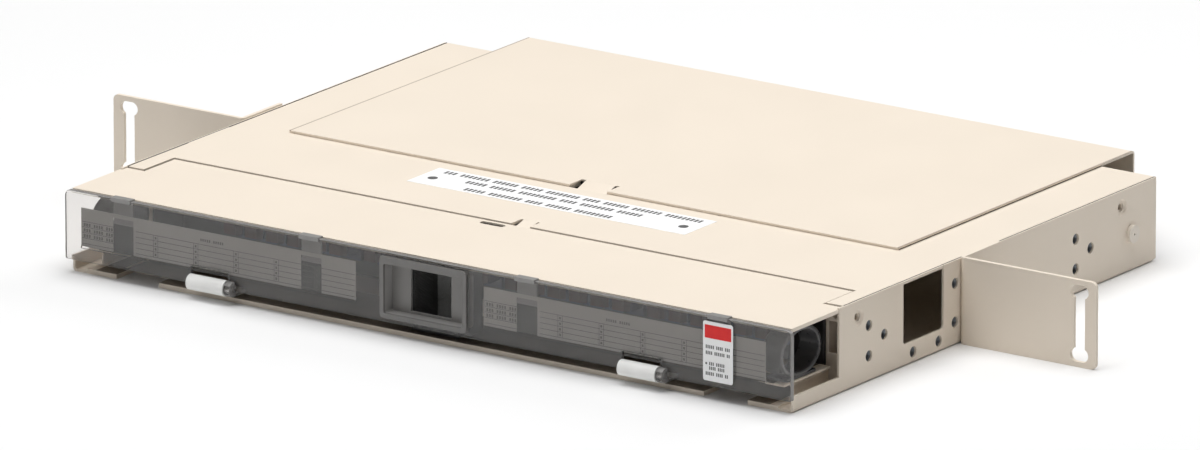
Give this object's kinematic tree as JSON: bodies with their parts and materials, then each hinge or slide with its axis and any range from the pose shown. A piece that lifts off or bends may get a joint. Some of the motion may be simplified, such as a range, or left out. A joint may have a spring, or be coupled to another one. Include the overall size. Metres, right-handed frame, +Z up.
{
  "type": "fibre patch module",
  "caption": "Low rack-mounted fibre patch shelf in cream sheet metal with a clear hinged front door, cable rings at the open sides and lift-off top covers.",
  "frame": {"origin": "on the underside, below the middle of the overall box", "axes": "+X to the right seen from the front, +Y towards the back, +Z up"},
  "size_m": [0.586, 0.355, 0.0444],
  "materials": {
    "cream_paint": "satin",
    "panel_paint": "satin",
    "clear_door": "gloss",
    "white_plastic": "satin",
    "black_plastic": "satin",
    "grey_plastic": "satin",
    "zinc_steel": "satin",
    "card_paper": "matte",
    "clip_plastic": "satin",
    "label_paper": "satin",
    "adapter_blue": "satin",
    "cap_red": "matte"
  },
  "bodies": {
    "chassis": {"chassis_base": "cream_paint", "top_plate": "cream_paint", "ear_bracket_left": "cream_paint", "ear_bracket_right": "cream_paint", "wing_plate_left": "cream_paint", "wing_plate_right": "cream_paint", "ring_plate_left": "cream_paint", "ring_plate_right": "cream_paint", "ring_channel_left": "cream_paint", "ring_channel_right": "cream_paint", "tie_bracket_left": "cream_paint", "tie_bracket_right": "cream_paint", "adapter_bulkhead": "panel_paint", "hinge_barrel_left": "white_plastic", "hinge_barrel_right": "white_plastic", "cable_rings": "black_plastic", "slack_spools": "black_plastic", "door_catch": "black_plastic", "wall_plugs": "grey_plastic", "ear_screws": "zinc_steel", "wall_inserts_left": "zinc_steel", "wall_inserts_right": "zinc_steel", "hinge_pin_left": "zinc_steel", "hinge_pin_right": "zinc_steel", "top_label": "label_paper", "adapter_pack_1": "adapter_blue", "adapter_pack_2": "adapter_blue", "adapter_pack_3": "adapter_blue", "adapter_pack_4": "adapter_blue", "front_dust_caps": "cap_red", "rear_dust_caps": "cap_red"},
    "door": {"front_door": "clear_door", "designation_card_left": "card_paper", "designation_card_right": "card_paper", "card_clips": "clip_plastic", "door_sticker": "label_paper"},
    "front_cover": {"front_cover": "cream_paint"},
    "rear_cover": {"rear_cover": "cream_paint"}
  },
  "joints": [
    {"name": "door_hinge", "type": "hinge", "parent": "chassis", "child": "door", "pos_m": [0, -0.1735, 0.0082], "axis": [1, 0, 0], "range_deg": [0, 100]},
    {"name": "front_cover_tip", "type": "hinge", "parent": "chassis", "child": "front_cover", "pos_m": [0, -0.0985, 0.0415], "axis": [-1, 0, 0], "range_deg": [0, 40]},
    {"name": "rear_cover_slide", "type": "slide", "parent": "chassis", "child": "rear_cover", "axis": [0, 1, 0], "range_m": [0, 0.22]}
  ]
}
